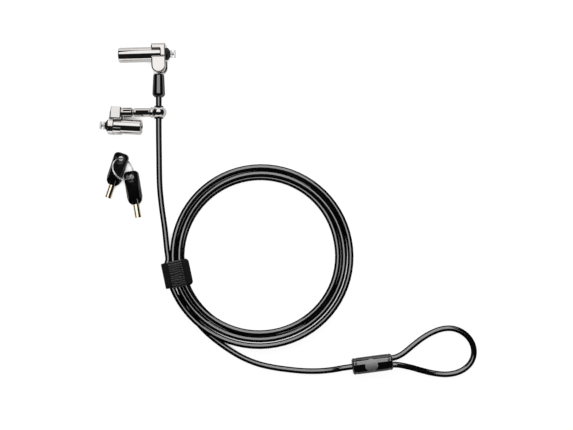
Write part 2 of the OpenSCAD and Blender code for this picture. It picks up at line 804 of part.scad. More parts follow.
// The bow: plan outline, side taper and bevelled section, cut together
module key_bow(hole, angle) {
  half = bow_w / 2;
  low = hole_in - bow_len;
  top = bow_thick / 2;
  color("#1a1a1a") at_key(hole, angle) difference() {
    union() {
      rotate([90, 0, 0]) translate([0, 0, -low - collar_len]) cylinder(r = top, h = collar_len);
      intersection() {
        translate([0, 0, -10]) linear_extrude(20) polygon(concat(
          arc(half - 3.4, hole_in - 3.4, 3.4, 0, 90, 6), arc(3.4 - half, hole_in - 3.4, 3.4, 90, 180, 6),
          [[-half, low + 5], [0.9 - half, low + 2], [2.6 - half, low], [half - 2.6, low],
           [half - 0.9, low + 2], [half, low + 5]]));
        rotate([90, 0, 90]) translate([0, 0, -20]) linear_extrude(40)
          polygon(both_sides([[hole_in + 1, bow_thin / 2 - 0.2], [hole_in - 0.6, bow_thin / 2],
            [0, bow_thin / 2 + 0.15], [low + 7, top], [low + collar_len, top],
            [low + collar_len - 1.5, top - collar_step], [low, top - collar_step - 0.2]]));
        rotate([90, 0, 0]) translate([0, 0, -20]) linear_extrude(60)
          polygon(both_sides([[half, 0.9], [half - 1.6, top + 0.1], [1.6 - half, top + 0.1], [-half, 0.9]]));
      }
    }
    cylinder(r = hole_r, h = 20, center = true);
    for (s = [0, 1]) mirror([0, 0, s])
      translate([0, 0, web_t / 2]) cylinder(r1 = hole_r, r2 = hole_r + 4.2, h = 3);
    rotate([90, 0, 0]) translate([0, 0, tube_in - hole_in]) cylinder(d = key_tube_d, h = 40);
  }
}

module key_tube(hole, angle) {
  start = tube_in - hole_in;
  tip = key_len;
  color("#d9c9a0") at_key(hole, angle) rotate([90, 0, 0]) {
    difference() {
      translate([0, 0, start]) cylinder(d = key_tube_d, h = tip - start);
      translate([0, 0, start + 4]) cylinder(d = key_bore_d, h = 40);
      // Bitting: a cut in the rim for each tumbler pin
      for (i = [0 : pin_count - 1]) rotate([0, 0, 25 + 360 * i / pin_count])
        translate([pin_circle_d / 2, 0, tip - 0.5 - 0.25 * (i % 3)]) cylinder(d = pin_d, h = 5, $fn = 24);
    }
    // Lugs that pass the keyway's slots
    for (s = [0, 180]) rotate([0, 0, s])
      translate([key_tube_d / 2 - 0.3, -lug_w / 2, tip - 2.4]) cube([lug_h + 0.3, lug_w, 1.6]);
  }
}

module key_ring() {
  color("silver") translate([ring_centre[0], ring_centre[1], ring_z])
    rotate([0, 0, chord_angle]) rotate([-ring_tilt, 0, 0])
      rotate_extrude($fn = 96) for (s = [-1, 1])
        translate([ring_r, s * wire_d * 0.45]) circle(d = wire_d, $fn = 24);
}

// ---------- nodes ----------

module main_part(colour) {
  color(colour) at_main_head() children();
}

module second_part(colour) {
  color(colour) at_second() children();
}

m_len = main_barrel_len;
m_off = main_offset;
s_len = second_barrel_len;
s_off = second_offset;

main_part("gainsboro") lock_barrel(m_off, m_len, 1);  // main_barrel
main_part("silver") lock_keyway(m_off, m_len);  // main_keyway
main_part("goldenrod") lock_rotor(m_off, m_len);  // main_rotor
main_part("goldenrod") lock_stator(m_off, m_len, 1);  // main_stator
main_part("gold") lock_key_pins(m_off, m_len);  // main_key_pins
main_part("gold") lock_driver_pins(m_off, m_len);  // main_driver_pins
main_part("gray") lock_pin_springs(m_off, m_len);  // main_pin_springs
main_part("silver") lock_core_pin(m_off, m_len, 1);  // main_core_pin
main_part("silver") lock_spindle(m_off, m_len);  // main_spindle
main_part("silver") lock_nose(m_off);  // main_nose
main_part("#1c1c1c") lock_pad(m_off);  // main_pad
main_yoke();
main_hinge_pin();
main_tongue();
main_sleeve();
second_part("gainsboro") lock_barrel(s_off, s_len, -1);  // second_barrel
second_part("silver") lock_keyway(s_off, s_len);  // second_keyway
second_part("goldenrod") lock_rotor(s_off, s_len);  // second_rotor
second_part("goldenrod") lock_stator(s_off, s_len, -1);  // second_stator
second_part("gold") lock_key_pins(s_off, s_len);  // second_key_pins
second_part("gold") lock_driver_pins(s_off, s_len);  // second_driver_pins
second_part("gray") lock_pin_springs(s_off, s_len);  // second_pin_springs
second_part("silver") lock_core_pin(s_off, s_len, -1);  // second_core_pin
second_part("silver") lock_spindle(s_off, s_len);  // second_spindle
second_part("silver") lock_nose(s_off);  // second_nose
second_part("#1c1c1c") lock_pad(s_off);  // second_pad
second_yoke();
second_hinge_pin();
swivel_fork();
swivel_pin();
eyelet();
eyelet_bush();
cable_head_run();
cable_coil();
cable_tail_run();
cable_loop();
loop_cover();
loop_crimp();
strap();
key_ring();
key_bow(hole_a, key_a_angle);  // key_a_bow
key_tube(hole_a, key_a_angle);  // key_a_tube
key_bow(hole_b, key_b_angle);  // key_b_bow
key_tube(hole_b, key_b_angle);  // key_b_tube
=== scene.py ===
# %% [markdown]
# # A laptop cable lock
# The object is a long jacketed steel cable, coiled and strapped, with a hinged lock head on its end, a
# second head that slides on it, an end loop and a ring with two tubular keys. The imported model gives
# every rigid piece at its real size. This lesson dresses it: it redraws the cables, the strap and the
# rounded metal, and gives each surface a material.

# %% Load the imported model
import json
import math

import bmesh
import bpy
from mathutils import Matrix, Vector


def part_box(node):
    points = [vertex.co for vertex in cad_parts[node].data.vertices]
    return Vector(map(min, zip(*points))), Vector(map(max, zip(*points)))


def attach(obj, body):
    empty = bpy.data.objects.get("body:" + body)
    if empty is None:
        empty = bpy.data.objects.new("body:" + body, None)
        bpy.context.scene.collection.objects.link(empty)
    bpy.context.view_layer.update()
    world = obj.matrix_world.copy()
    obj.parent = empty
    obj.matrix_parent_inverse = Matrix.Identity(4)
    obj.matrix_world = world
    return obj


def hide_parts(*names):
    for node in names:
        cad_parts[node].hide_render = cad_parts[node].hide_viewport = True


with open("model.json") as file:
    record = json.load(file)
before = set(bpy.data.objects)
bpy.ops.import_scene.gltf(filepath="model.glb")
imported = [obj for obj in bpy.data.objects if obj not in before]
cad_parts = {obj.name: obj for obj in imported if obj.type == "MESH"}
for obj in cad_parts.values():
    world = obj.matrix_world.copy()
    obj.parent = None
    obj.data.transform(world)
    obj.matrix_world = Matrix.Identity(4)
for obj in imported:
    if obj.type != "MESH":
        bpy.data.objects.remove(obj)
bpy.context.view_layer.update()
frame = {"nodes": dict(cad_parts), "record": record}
mm = 0.001
print("pieces in the packed model:", len(frame["nodes"]))

# %% [markdown]
# ## Camera
# A catalogue picture of a cable is taken from straight above, so that the coil reads as a circle. The
# lens is a little long, which keeps the lock heads from leaning outwards at the edge of the picture. It
# could be set by eye, but here it is worked out from the width that the picture has to show.


# %% Camera above the table
def add_object(name, data):
    made = bpy.data.objects.new(name, data)
    bpy.context.scene.collection.objects.link(made)
    return made


VIEW_WIDTH = 573 * 0.73 * mm
VIEW_LEVEL = 0.004                      # the height above the table at which that width is meant
SENSOR_WIDTH = 36
camera_data = bpy.data.cameras.new("overhead")
camera = add_object("overhead", camera_data)
camera.location = (0.0929, -0.1091, 0.640)
camera_data.sensor_width = SENSOR_WIDTH
camera_data.lens = SENSOR_WIDTH * (camera.location.z - VIEW_LEVEL) / VIEW_WIDTH
camera_data.clip_start = 0.05
bpy.context.scene.camera = camera
print("lens:", round(camera_data.lens, 1), "mm")

# %% [markdown]
# ## The cable's route
# The cable is one long line: it leaves the sleeve, sinks from the lock's height to the table, joins the
# coil under the strap, winds inwards on the upper layer, climbs down and winds outwards on the lower
# layer, and runs on to the cover of the end loop. A coil could be simulated as a falling rope, but then
# nobody could say where a turn lies. A formula keeps the turns beside each other at a steady step.

# %% The coil
CABLE_R = 2.1 * mm
COIL_CENTRE = Vector((74.6, -138.8, 0)) * mm
COIL_START = 10.0                       # degrees round the centre, where the strap is
COIL_R, COIL_STEP, COIL_LAYER = 68.0 * mm, 4.75 * mm, 4.7 * mm
COIL_DIP = 1.3 * mm                     # the near side of the coil is pressed in by this much
COIL_TURNS, TURN_BACK, CLIMB_HALF = 4, 2.5, 0.25
POINTS_PER_TURN = 72
UPPER_SHIFT = -0.8 * mm                 # the upper layer has slipped a little to the left
LIFT, LIFT_SPAN = 1.67 * mm, 36.0       # the strap passes underneath and lifts the bundle


def smooth(x):
    x = min(1.0, max(0.0, x))
    return x * x * (3 - 2 * x)


def coil_point(turn):
    degrees = COIL_START + 360 * turn
    a = math.radians(degrees)
    lower = smooth((turn - TURN_BACK + CLIMB_HALF) / (2 * CLIMB_HALF))
    r = COIL_R - COIL_STEP * (turn if turn < TURN_BACK else 2 * TURN_BACK - turn)
    r -= COIL_DIP * max(0, math.sin(a)) ** 2
    off = abs((degrees + 180) % 360 - 180 - COIL_START)
    up = LIFT * math.cos(math.radians(90 * off / LIFT_SPAN)) ** 2 if off < LIFT_SPAN else 0
    return COIL_CENTRE + Vector((-r * math.cos(a) + (1 - lower) * UPPER_SHIFT, -r * math.sin(a),
                                 CABLE_R + (1 - lower) * COIL_LAYER + up))


coil_line = [coil_point(i / POINTS_PER_TURN) for i in range(COIL_TURNS * POINTS_PER_TURN + 1)]
print("coil:", COIL_TURNS, "turns,", len(coil_line), "points")


# %% Points of the free runs
def route(*points):
    return [Vector(p) * mm for p in points]


head_route = route(
    (0, -22.3, 6.5), (0, -32, 6.5), (0, -44, 6.5), (0, -52, 6.1), (0, -60, 5.4), (0, -69, 4.6),
    (0, -78, 3.8), (0.2, -88, 3), (1, -98, 2.4), (2.2, -108, 2.1), (3.6, -117, 2.8),
    (4.9, -126, 4.8), (6, -134, 6.7), (7, -141.5, 7.9))
tail_route = route(
    (15, -163, 3.2), (17.9, -171, 2.6), (22, -179.8, 2.2), (28, -188.1, 2.1), (35, -195.5, 2.1),
    (43, -202.1, 2.1), (52, -208.4, 2.1), (61.5, -213.8, 2.1), (72, -218, 2.1), (83, -220.6, 2.1),
    (95, -222.3, 2.1), (106, -223.3, 2.1), (117, -223.3, 2.3), (126.5, -222.1, 3.9))
loop_route = route(
    (177.2, -210.4, 5.2), (184.8, -204.7, 3.8), (192.3, -199.2, 2.6), (200, -194.9, 2.1),
    (207.5, -192.4, 2.1), (214.5, -192.2, 2.1), (221, -194.5, 2.1), (226.2, -198.8, 2.1),
    (229.4, -204.5, 2.1), (230.1, -210.8, 2.1), (228, -216.9, 2.1), (223.3, -221.7, 2.1),
    (217, -224.7, 2.1), (209, -225.8, 2.1), (200, -224.8, 2.2), (191, -222.5, 3.1),
    (183, -220.1, 4.4))

# %% [markdown]
# ## From points to lines
# A run of cable bends smoothly through its points. The handles of a Bezier curve could be set by hand at
# each of them, but a Hermite spline takes its slope at a point from the two neighbours, so the points
# alone are enough. The result is a plain list of places, which any curve or sweep can follow.

# %% A smooth line through points
SPLINE_STEPS = 5


def curve_through(points, steps=SPLINE_STEPS):
    line = []
    for i in range(len(points) - 1):
        p0, p1, p2, p3 = (points[max(i - 1, 0)], points[i], points[i + 1],
                          points[min(i + 2, len(points) - 1)])
        gap = (p2 - p1).length
        m1 = (p2 - p0) / max((p2 - p1).length + (p1 - p0).length, 1e-9) * gap
        m2 = (p3 - p1) / max((p3 - p2).length + (p2 - p1).length, 1e-9) * gap
        for k in range(steps):
            t = k / steps
            line.append((2 * t**3 - 3 * t**2 + 1) * p1 + (t**3 - 2 * t**2 + t) * m1
                        + (3 * t**2 - 2 * t**3) * p2 + (t**3 - t**2) * m2)
    return line + [points[-1]]


def length_of(line):
    return sum((b - a).length for a, b in zip(line, line[1:]))


# %% Join the runs
COVER = Vector((155.3, -217.6, 6.0)) * mm
COVER_ANGLE = math.radians(7.5)
COVER_HALF, LEG_GAP = 14.7 * mm, 5.3 * mm
HELD_AT = 6 * mm                        # each cable ends this far from the cover's middle
TAIL_OUT, LEG_OUT = 6 * mm, 2 * mm      # the straight stretches just outside the cover
cover_dir = Vector((math.cos(COVER_ANGLE), math.sin(COVER_ANGLE), 0))
cover_side = Vector((-math.sin(COVER_ANGLE), math.cos(COVER_ANGLE), 0))


def leg(side, x):
    return COVER + cover_dir * x + cover_side * (side * LEG_GAP / 2)


start_dir = (coil_line[1] - coil_line[0]).normalized()
end_dir = (coil_line[-1] - coil_line[-2]).normalized()
coil_in, coil_out = coil_line[0] - start_dir * 2 * CABLE_R, coil_line[-1] + end_dir * 2 * CABLE_R
tail_in, tail_end = COVER - cover_dir * (COVER_HALF + TAIL_OUT), COVER - cover_dir * HELD_AT
main_line = (curve_through(head_route + [coil_in, coil_line[0]])[:-1] + coil_line
             + curve_through([coil_line[-1], coil_out] + tail_route + [tail_in, tail_end])[1:])
loop_line = curve_through([leg(1, HELD_AT), leg(1, COVER_HALF + LEG_OUT)] + loop_route
                          + [leg(-1, COVER_HALF + LEG_OUT), leg(-1, HELD_AT)])
print("cable:", round(length_of(main_line), 3), "m, loop:", round(length_of(loop_line), 3), "m")

# %% [markdown]
# ## Cables as curves
# A jacketed cable is the same round section all the way. It could be a mesh of rings, but a curve with a
# bevel is the lightest way to draw it, and a curve keeps its own centreline, which is also how its
# length is measured. The material is put on before the object is made, so that the curve is complete
# when Blender first measures it. The jacket's own nodes follow further down.

# %% Draw a cable along a line
ROUND_STEPS = 6                         # this gives the round section 16 sides


def cable(name, line, radius, material):
    data = bpy.data.curves.new(name, "CURVE")
    data.materials.append(material)
    data.dimensions = "3D"
    data.bevel_depth = radius
    data.bevel_resolution = ROUND_STEPS
    data.use_fill_caps = True
    spline = data.splines.new("POLY")
    spline.points.add(len(line) - 1)
    for point, place in zip(spline.points, line):
        point.co = (*place, 1)
    spline.use_smooth = True
    return add_object(name, data)


jacket = bpy.data.materials.new("cable_jacket")
main_cable = cable("main_cable", main_line, CABLE_R, jacket)
loop_cable = cable("loop_cable", loop_line, CABLE_R, jacket)
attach(main_cable, "cable")
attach(loop_cable, "cable")
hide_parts("cable_head_run", "cable_coil", "cable_tail_run")
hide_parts("cable_loop")

# %% [markdown]
# ## Effects shared by several materials
# Real surfaces differ from clean shader values in small ways: handling marks break up a polish, and
# moulding leaves a faint grain. The nodes could be repeated in each material, but a node group is built
# once and placed wherever it is needed, with its own values. The groups put out only colours, values and
# normals, and the shader stays in the material.


# %% Helpers for nodes
def new_group(name, inputs, outputs):
    group = bpy.data.node_groups.new(name, "ShaderNodeTree")
    for label, kind, value in inputs:
        group.interface.new_socket(label, in_out="INPUT", socket_type=kind).default_value = value
    for label, kind in outputs:
        group.interface.new_socket(label, in_out="OUTPUT", socket_type=kind)
    return group, group.nodes.new("NodeGroupInput"), group.nodes.new("NodeGroupOutput")


def node(tree, kind, **values):
    made = tree.nodes.new(kind)
    for key, value in values.items():
        if key in made.inputs:
            made.inputs[key].default_value = value
        else:
            setattr(made, key, value)
    return made


def fill(made, values):
    for label, value in values.items():
        made.inputs[label].default_value = value


def remap(tree, low, high, to_low=0.0, to_high=1.0):
    made = node(tree, "ShaderNodeMapRange")
    fill(made, {"From Min": low, "From Max": high, "To Min": to_low, "To Max": to_high})
    return made


def wire_up(tree, *pairs):
    for start, end in pairs:
        tree.links.new(start, end)


# %% Handling marks: soft smudges and hairline scratches
marks, marks_in, marks_out = new_group(
    "Handling Marks",
    [("Size", "NodeSocketFloat", 300.0), ("Clean", "NodeSocketFloat", 0.08),
     ("Rubbed", "NodeSocketFloat", 0.2), ("Depth", "NodeSocketFloat", 0.1)],
    [("Roughness", "NodeSocketFloat"), ("Normal", "NodeSocketVector")])
coords = node(marks, "ShaderNodeTexCoord")
smudge = node(marks, "ShaderNodeTexNoise", Detail=4.0, Roughness=0.6)
stretch = node(marks, "ShaderNodeMapping", Rotation=(0.3, 0.2, 0.7), Scale=(9.0, 1.0, 2.0))
scratch = node(marks, "ShaderNodeTexNoise", Detail=3.0, Roughness=0.7)
soft, thin = remap(marks, 0.45, 0.75), remap(marks, 0.62, 0.72)
both = node(marks, "ShaderNodeMath", operation="MAXIMUM")
spread = remap(marks, 0.0, 1.0)
bump = node(marks, "ShaderNodeBump", Distance=0.00004)
wire_up(marks,
        (coords.outputs["Object"], smudge.inputs["Vector"]),
        (coords.outputs["Object"], stretch.inputs["Vector"]),
        (stretch.outputs["Vector"], scratch.inputs["Vector"]),
        (marks_in.outputs["Size"], smudge.inputs["Scale"]),
        (marks_in.outputs["Size"], scratch.inputs["Scale"]),
        (smudge.outputs[0], soft.inputs["Value"]), (scratch.outputs[0], thin.inputs["Value"]),
        (soft.outputs["Result"], both.inputs[0]), (thin.outputs["Result"], both.inputs[1]),
        (both.outputs[0], spread.inputs["Value"]),
        (marks_in.outputs["Clean"], spread.inputs["To Min"]),
        (marks_in.outputs["Rubbed"], spread.inputs["To Max"]),
        (thin.outputs["Result"], bump.inputs["Height"]),
        (marks_in.outputs["Depth"], bump.inputs["Strength"]),
        (spread.outputs["Result"], marks_out.inputs["Roughness"]),
        (bump.outputs["Normal"], marks_out.inputs["Normal"]))
print("group:", marks.name)

# %% Moulded grain: the faint orange peel of plastic and rubber
grain, grain_in, grain_out = new_group(
    "Moulded Grain",
    [("Size", "NodeSocketFloat", 1500.0), ("Depth", "NodeSocketFloat", 0.1),
     ("Dark", "NodeSocketColor", (0.01, 0.01, 0.01, 1)),
     ("Pale", "NodeSocketColor", (0.03, 0.03, 0.03, 1)),
     ("Smooth", "NodeSocketFloat", 0.3), ("Dull", "NodeSocketFloat", 0.45)],
    [("Color", "NodeSocketColor"), ("Roughness", "NodeSocketFloat"), ("Normal", "NodeSocketVector")])
coords = node(grain, "ShaderNodeTexCoord")
fine = node(grain, "ShaderNodeTexNoise", Detail=3.0, Roughness=0.55)
broad_size = node(grain, "ShaderNodeMath", operation="MULTIPLY")
broad_size.inputs[1].default_value = 0.08       # the tint changes over a far wider scale than the grain
broad = node(grain, "ShaderNodeTexNoise", Detail=3.0)
tint = node(grain, "ShaderNodeMix", data_type="RGBA")
dull = remap(grain, 0.3, 0.7)
bump = node(grain, "ShaderNodeBump", Distance=0.00005)
wire_up(grain,
        (coords.outputs["Object"], fine.inputs["Vector"]),
        (coords.outputs["Object"], broad.inputs["Vector"]),
        (grain_in.outputs["Size"], fine.inputs["Scale"]),
        (grain_in.outputs["Size"], broad_size.inputs[0]),
        (broad_size.outputs[0], broad.inputs["Scale"]),
        (broad.outputs[0], tint.inputs["Factor"]),
        (grain_in.outputs["Dark"], tint.inputs["A"]), (grain_in.outputs["Pale"], tint.inputs["B"]),
        (broad.outputs[0], dull.inputs["Value"]),
        (grain_in.outputs["Smooth"], dull.inputs["To Min"]),
        (grain_in.outputs["Dull"], dull.inputs["To Max"]),
        (fine.outputs[0], bump.inputs["Height"]),
        (grain_in.outputs["Depth"], bump.inputs["Strength"]),
        (tint.outputs["Result"], grain_out.inputs["Color"]),
        (dull.outputs["Result"], grain_out.inputs["Roughness"]),
        (bump.outputs["Normal"], grain_out.inputs["Normal"]))
print("group:", grain.name)

# %% [markdown]
# ## Metals
# The barrels and yokes are plated with chrome, the key tubes with warm nickel, and the tips and pins are
# plain steel. Bright metal takes its look from what it reflects, so a picture of a room is sometimes
# wrapped round it. Here the soft boxes do that, and the material is only a colour, a high polish and the
# handling marks.


# %% Metals
def start_material(name):
    made = bpy.data.materials.get(name) or bpy.data.materials.new(name)
    made.use_nodes = True
    return made, made.node_tree, made.node_tree.nodes["Principled BSDF"]


def metal(name, colour, clean, rubbed, size=250.0, depth=0.08):
    made, tree, shader = start_material(name)
    fill(shader, {"Base Color": (*colour, 1), "Metallic": 1.0})
    effect = node(tree, "ShaderNodeGroup", node_tree=marks, Size=size, Clean=clean, Rubbed=rubbed,
                  Depth=depth)
    for label in ("Roughness", "Normal"):
        tree.links.new(effect.outputs[label], shader.inputs[label])
    return made


chrome = metal("bright_chrome", (0.65, 0.63, 0.615), clean=0.04, rubbed=0.1)
pin_steel = metal("pin_steel", (0.62, 0.62, 0.62), clean=0.2, rubbed=0.35, size=500.0, depth=0.15)
key_nickel = metal("key_nickel", (0.84, 0.75, 0.6), clean=0.08, rubbed=0.14, size=400.0)
ring_steel = metal("ring_steel", (0.82, 0.82, 0.83), clean=0.08, rubbed=0.18, size=500.0)
tip_steel = metal("tip_steel", (0.5, 0.5, 0.5), clean=0.12, rubbed=0.25, size=500.0, depth=0.1)
lock_brass = metal("lock_brass", (0.78, 0.58, 0.28), clean=0.18, rubbed=0.32, size=400.0)
print("materials so far:", len(bpy.data.materials))

# %% [markdown]
# ## Plastics, rubber and jacket
# The cable's jacket, the sleeve, the cover and the key bows are nearly black, and differ by how sharp
# their highlight is. A plain glossy black would also mirror the pale table all along its outline, and
# the piece would get a grey rim. A Layer Weight node knows where a surface turns away, so it fades the
# gloss there, and for the matt key bows it raises it.


# %% Moulded materials
def moulded(name, dark, pale, clean, dull, size, depth, ior=1.5, gloss=0.5, rim=1.0, turn=(0.25, 0.6)):
    made, tree, shader = start_material(name)
    fill(shader, {"IOR": ior, "Specular IOR Level": gloss})
    effect = node(tree, "ShaderNodeGroup", node_tree=grain, Size=size, Depth=depth,
                  Dark=(dark, dark, dark, 1), Pale=(pale, pale, pale, 1), Smooth=clean, Dull=dull)
    for label, socket in (("Color", "Base Color"), ("Roughness", "Roughness"), ("Normal", "Normal")):
        tree.links.new(effect.outputs[label], shader.inputs[socket])
    if rim != 1.0:
        facing = node(tree, "ShaderNodeLayerWeight", Blend=0.5)
        fade = remap(tree, *turn, gloss, gloss * rim)
        tree.links.new(facing.outputs["Facing"], fade.inputs["Value"])
        tree.links.new(fade.outputs["Result"], shader.inputs["Specular IOR Level"])
    return made


moulded("cable_jacket", 0.0012, 0.0025, clean=0.05, dull=0.09, size=1500.0, depth=0.015,
        ior=1.95, gloss=1.0, rim=0.0, turn=(0.16, 0.32))
shell = moulded("moulded_cover", 0.0015, 0.003, clean=0.06, dull=0.1, size=1200.0, depth=0.03,
                ior=1.9, gloss=1.0, rim=0.1, turn=(0.22, 0.5))
pad_rubber = moulded("pad_rubber", 0.006, 0.012, clean=0.4, dull=0.55, size=1600.0, depth=0.2, rim=0.3)
bow_plastic = moulded("bow_plastic", 0.0015, 0.004, clean=0.2, dull=0.3, size=1400.0, depth=0.1,
                      ior=1.6, gloss=0.3, rim=2.5, turn=(0.03, 0.3))
print("materials so far:", len(bpy.data.materials))

# %% [markdown]
# ## Rounding the metal
# The lock's yokes and barrels are cast, polished and plated, so their edges are round and catch a line of
# light or dark, widest along the upper side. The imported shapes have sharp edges. The fillets could be
# modelled one by one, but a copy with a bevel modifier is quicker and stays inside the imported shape. Its
# flat triangles are joined first, and then each edge gets a weight: the full width on the top face, a
# fraction on the sides, and nothing round a hinge pin, where the drilled hole keeps its crisp rim.

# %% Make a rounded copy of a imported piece
WELD, LEVEL = 2e-6, math.radians(1.0)   # points this near are one point, faces this level one face
SHARP = 28.0                            # degrees: a smaller fold than this isn't an edge
SIDE_WEIGHT, BEVEL_STEPS = 0.12, 3
FINE = 0.4 * mm                         # a bevel narrower than this is the same on every edge
TOP_DEPTH, PIN_RIM = 0.05 * mm, 1.4 * mm
hinge_axes = ((0.0, -1.3 * mm), (-30.3 * mm, -34.5 * mm))


def edge_weight(edge, top, width, keep):
    if any(all(math.hypot(v.co.x - x, v.co.y - y) < PIN_RIM for v in edge.verts) for x, y in keep):
        return 0.0
    on_top = all(v.co.z > top - TOP_DEPTH for v in edge.verts)
    return 1.0 if on_top or width < FINE else SIDE_WEIGHT


def rounded(name, part, body, material, width, keep=()):
    data = frame["nodes"][part].data.copy()
    data.materials.clear()
    shape = bmesh.new()
    shape.from_mesh(data)
    bmesh.ops.remove_doubles(shape, verts=shape.verts, dist=WELD)
    bmesh.ops.dissolve_limit(shape, angle_limit=LEVEL, verts=shape.verts,
                             edges=shape.edges, use_dissolve_boundaries=False)
    for face in shape.faces:
        face.smooth = True
    weight = shape.edges.layers.float.new("bevel_weight_edge")
    top = max(v.co.z for v in shape.verts)
    for edge in shape.edges:
        if math.degrees(edge.calc_face_angle(0.0)) >= SHARP:
            edge[weight] = edge_weight(edge, top, width, keep)
            edge.smooth = False
    shape.to_mesh(data)
    shape.free()
    data.materials.append(material)
    piece = add_object(name, data)
    bevel = piece.modifiers.new("edge", "BEVEL")
    bevel.width = width
    bevel.segments = BEVEL_STEPS
    bevel.limit_method = "WEIGHT"
    bevel.use_clamp_overlap = width < FINE
    bevel.harden_normals = True
    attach(piece, body)
    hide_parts(part)
    return piece


# %% Plated, polished and moulded pieces
plated = (("main_yoke", "main_yoke", 0.65), ("main_barrel", "main_barrel", 0.3),
          ("second_yoke", "second_yoke", 0.6), ("second_barrel", "second_barrel", 0.3),
          ("main_tongue", "cable", 0.15), ("eyelet", "eyelet", 0.1), ("swivel_fork", "swivel_fork", 0.12))
polished = (("main_spindle", "main_core"), ("second_spindle", "second_core"),
            ("main_nose", "main_barrel"), ("second_nose", "second_barrel"))
POLISHED_EDGE, BOW_EDGE = 0.22 * mm, 0.35 * mm
bright = [rounded(part + "_plated", part, body, chrome, width * mm, keep=hinge_axes)
          for part, body, width in plated]
bright += [rounded(part + "_polished", part, body, tip_steel, POLISHED_EDGE)
           for part, body in polished]
bows = [rounded(part + "_moulded", part, body, bow_plastic, BOW_EDGE)
        for part, body in (("key_a_bow", "key_a"), ("key_b_bow", "key_b"))]
for piece in bright + bows:
    print(piece.name, len(piece.data.polygons), "faces")

# %% [markdown]
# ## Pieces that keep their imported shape
# Pins, rotors, studs and key tubes already have the shape they need. New meshes would add nothing, so
# only their material slots are filled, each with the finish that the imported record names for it.

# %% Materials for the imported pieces
HINGE_PINS = ("main_hinge_pin", "second_hinge_pin")
finishes = {"nickel": key_nickel, "steel": pin_steel, "brass": lock_brass, "rubber": pad_rubber,
            "chrome": chrome}
slots = {part["node"]: part["material_slot"] for part in frame["record"]["subparts"]}
chosen = {name: finishes[slot] for name, slot in slots.items() if slot in finishes}
chosen.update({name: chrome for name in HINGE_PINS})
chosen.update({name: shell for name in ("main_sleeve", "loop_cover")})
for name, finish in chosen.items():
    frame["nodes"][name].data.materials.clear()
    frame["nodes"][name].data.materials.append(finish)
print("packed pieces with a finish:", len(chosen))

# %% [markdown]
# ## The split ring
# A split ring is one wire wound twice, with a small step where it passes from one turn to the other. Two
# plain rings side by side would miss that step. A curve with a round bevel follows the real winding,
# tilted as it lies across the two keys.

# %% Wind the ring
RING_R, WIRE_R, WIRE_SIDE = 8.3 * mm, 0.37 * mm, 0.36 * mm
RING_TILT = math.radians(45)
RING_POINTS = 280
WIND_FROM, WIND_TURNS = 0.04, 1.92      # in turns
STEP_FROM, STEP_LONG = 0.92, 0.16       # the stretch in which the wire changes sides
ring_low, ring_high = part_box("key_ring")
hole_a, hole_b = Vector((-27.9, -68.0, 0)) * mm, Vector((-20.2, -81.2, 0)) * mm
across = (hole_b - hole_a).normalized()
lean = Vector((across.y, -across.x, 0)) * -1
up_side = (-lean * math.cos(RING_TILT) + Vector((0, 0, 1)) * math.sin(RING_TILT))
ring_axis = across.cross(up_side).normalized()
ring_middle = (ring_low + ring_high) / 2
wire = []
for i in range(RING_POINTS + 1):
    wound = WIND_FROM + WIND_TURNS * i / RING_POINTS
    turn = 2 * math.pi * wound
    side = 2 * smooth((wound - STEP_FROM) / STEP_LONG) - 1
    wire.append(ring_middle + RING_R * (math.cos(turn) * across + math.sin(turn) * up_side)
                + ring_axis * side * WIRE_SIDE)
split_ring = cable("split_ring", wire, WIRE_R, ring_steel)
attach(split_ring, "key_ring")
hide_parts("key_ring")
print("ring wire:", round(length_of(wire) * 1000), "mm")

# %% [markdown]
# ## The strap
# The strap is a piece of hook-and-loop webbing, wrapped once round the bundle, with a short flap of pile
# sewn on top. Cloth simulation could drape it, but a strap that is pulled tight keeps its thickness and
# width whatever it goes round, so both layers are flat bands swept along a line. The flap is a little
# wider than the wrap, and its free end is rounded off.

# %% Path of the wrap and of the flap
strap_low, strap_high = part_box("strap")
STRAP_ANGLE = math.radians(COIL_START + 1.9)
STRAP_W, STRAP_T, BAND_T = 18.5 * mm, 1.4 * mm, 1.25 * mm
IN_W, IN_H, CORNER_R = 15.8 * mm, 9.3 * mm, 2.7 * mm
STRAP_STEPS = 4
strap_x = Vector((math.cos(STRAP_ANGLE), math.sin(STRAP_ANGLE), 0))
strap_y = Vector((math.sin(STRAP_ANGLE), -math.cos(STRAP_ANGLE), 0))
strap_middle = (COIL_CENTRE - strap_x * (COIL_R - COIL_STEP)) + Vector((0, 0, STRAP_T + IN_H / 2))
half_w, half_h = (IN_W + STRAP_T) / 2, (IN_H + STRAP_T) / 2
corner_x, corner_y = half_w - CORNER_R, half_h - CORNER_R
print("strap box:", [round(v * 1000, 1) for v in (*strap_low, *strap_high)])


def rounded_corner(cx, cy, start, end, steps=6):
    angles = [math.radians(start + (end - start) * i / steps) for i in range(steps + 1)]
    return [(cx + CORNER_R * math.cos(a), cy + CORNER_R * math.sin(a)) for a in angles]


def strap_line(points):
    return curve_through([strap_middle + strap_x * x + Vector((0, 0, y)) for x, y in points],
                         STRAP_STEPS)


wrap = [(-half_w + 4.4 * mm, half_h), (0, half_h)]
wrap += rounded_corner(corner_x, corner_y, 90, 0)
wrap += rounded_corner(corner_x, -corner_y, 0, -90)
wrap += rounded_corner(-corner_x, -corner_y, -90, -180)
wrap += rounded_corner(-corner_x, corner_y, 180, 100)
wrap += [(-half_w + 4.0 * mm, half_h + 1.15 * mm), (-half_w + 6.0 * mm, half_h + 1.2 * mm)]
flap = [(x * mm, half_h + y * mm) for x, y in (
    (-3.6, 1.22), (-3, 1.27), (0, 1.32), (5, 1.34), (8, 1.3), (9, 1.2), (9.6, 1.12), (10.2, 1.02),
    (10.7, 0.92), (11.1, 0.82), (11.4, 0.74))]
wrap_line, flap_line = strap_line(wrap), strap_line(flap)
print("strap:", round((length_of(wrap_line) + length_of(flap_line)) * 1000), "mm long")


